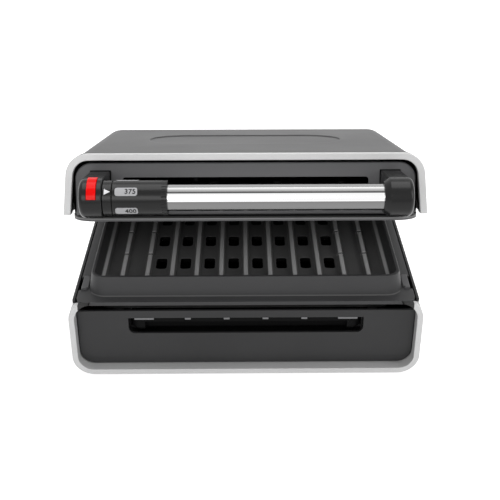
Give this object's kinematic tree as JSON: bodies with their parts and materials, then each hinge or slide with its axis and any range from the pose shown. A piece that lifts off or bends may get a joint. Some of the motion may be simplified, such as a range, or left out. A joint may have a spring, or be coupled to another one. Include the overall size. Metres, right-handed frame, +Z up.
{
  "type": "electric indoor grill with lid",
  "caption": "Countertop electric grill with ribbed, slotted plates, a hinged floating lid, a tube handle with a temperature dial and a drip tray.",
  "frame": {"origin": "centre of the footprint on the table plane, under the feet, with the lid at rest", "axes": "+X to the right of a person facing the front, +Y to the rear, +Z up"},
  "size_m": [0.334, 0.324, 0.2212],
  "materials": {
    "housing": "matt black",
    "lid_grey": "satin dark grey",
    "panel_grey": "satin dark grey",
    "silver": "silver paint",
    "plate": "non-stick coating, dark grey",
    "steel": "plain steel",
    "tube_chrome": "polished",
    "handle_black": "gloss black",
    "lens_red": "clear red",
    "tray_black": "matt black",
    "latch_grey": "light grey",
    "ceramic": "matt ceramic",
    "board": "printed circuit board",
    "rubber": "matt"
  },
  "bodies": {
    "base": {"base_housing": "housing", "housing_bosses": "housing", "hinge_towers": "housing", "base_front_panel": "panel_grey", "base_trim": "silver", "rubber_feet": "rubber", "lower_plate": "plate", "lower_element": "steel", "lower_reflector": "steel", "lower_supports": "ceramic", "base_screws": "steel", "tray_rails": "housing", "hinge_trough": "housing", "lower_latch_springs": "steel", "terminal_block": "ceramic", "safety_thermostat": "steel", "cord_grommet": "rubber"},
    "shaft": {"hinge_shaft": "steel", "shaft_rings": "steel"},
    "lid": {"lid_cover": "lid_grey", "lid_trim": "silver", "lid_front_panel": "panel_grey", "lid_frame": "housing", "upper_plate": "plate", "upper_element": "steel", "upper_reflector": "steel", "upper_supports": "ceramic", "hinge_arm_left": "steel", "hinge_arm_right": "steel", "handle_post_left": "handle_black", "handle_post_right": "handle_black", "indicator_lens": "lens_red", "indicator_board": "board", "dial_sensor": "board", "handle_core": "steel", "handle_tube": "tube_chrome", "tube_bushes": "handle_black", "pointer_collar": "handle_black", "control_board": "board", "board_pegs": "housing", "temperature_probe": "steel", "lid_screws": "steel"},
    "dial": {"temperature_dial": "handle_black"},
    "tray": {"drip_tray": "tray_black"},
    "lower_latch_left": {"lower_latch_left": "latch_grey"},
    "lower_latch_right": {"lower_latch_right": "latch_grey"},
    "upper_latch_left": {"upper_latch_left": "latch_grey"},
    "upper_latch_right": {"upper_latch_right": "latch_grey"}
  },
  "joints": [
    {"name": "lid_float", "type": "slide", "parent": "base", "child": "shaft", "axis": [0, 0, 1], "range_m": [0, 0.012]},
    {"name": "lid_hinge", "type": "hinge", "parent": "shaft", "child": "lid", "pos_m": [0, 0.14596, 0.066], "axis": [-1, 0, 0], "range_deg": [-16.9, 78]},
    {"name": "dial_turn", "type": "hinge", "parent": "lid", "child": "dial", "pos_m": [-0.0898, -0.14506, 0.20207], "axis": [1, 0, 0], "range_deg": [-144, 144]},
    {"name": "tray_slide", "type": "slide", "parent": "base", "child": "tray", "axis": [0, -1, 0], "range_m": [0, 0.19]},
    {"name": "lower_latch_left_slide", "type": "slide", "parent": "base", "child": "lower_latch_left", "axis": [-1, 0, 0], "range_m": [0, 0.002], "stiffness_N_per_m": 400, "springref_m": -0.002},
    {"name": "lower_latch_right_slide", "type": "slide", "parent": "base", "child": "lower_latch_right", "axis": [1, 0, 0], "range_m": [0, 0.002], "stiffness_N_per_m": 400, "springref_m": -0.002},
    {"name": "upper_latch_left_slide", "type": "slide", "parent": "lid", "child": "upper_latch_left", "axis": [-1, 0, 0], "range_m": [0, 0.0018], "stiffness_N_per_m": 400, "springref_m": -0.002},
    {"name": "upper_latch_right_slide", "type": "slide", "parent": "lid", "child": "upper_latch_right", "axis": [1, 0, 0], "range_m": [0, 0.0018], "stiffness_N_per_m": 400, "springref_m": -0.002}
  ]
}
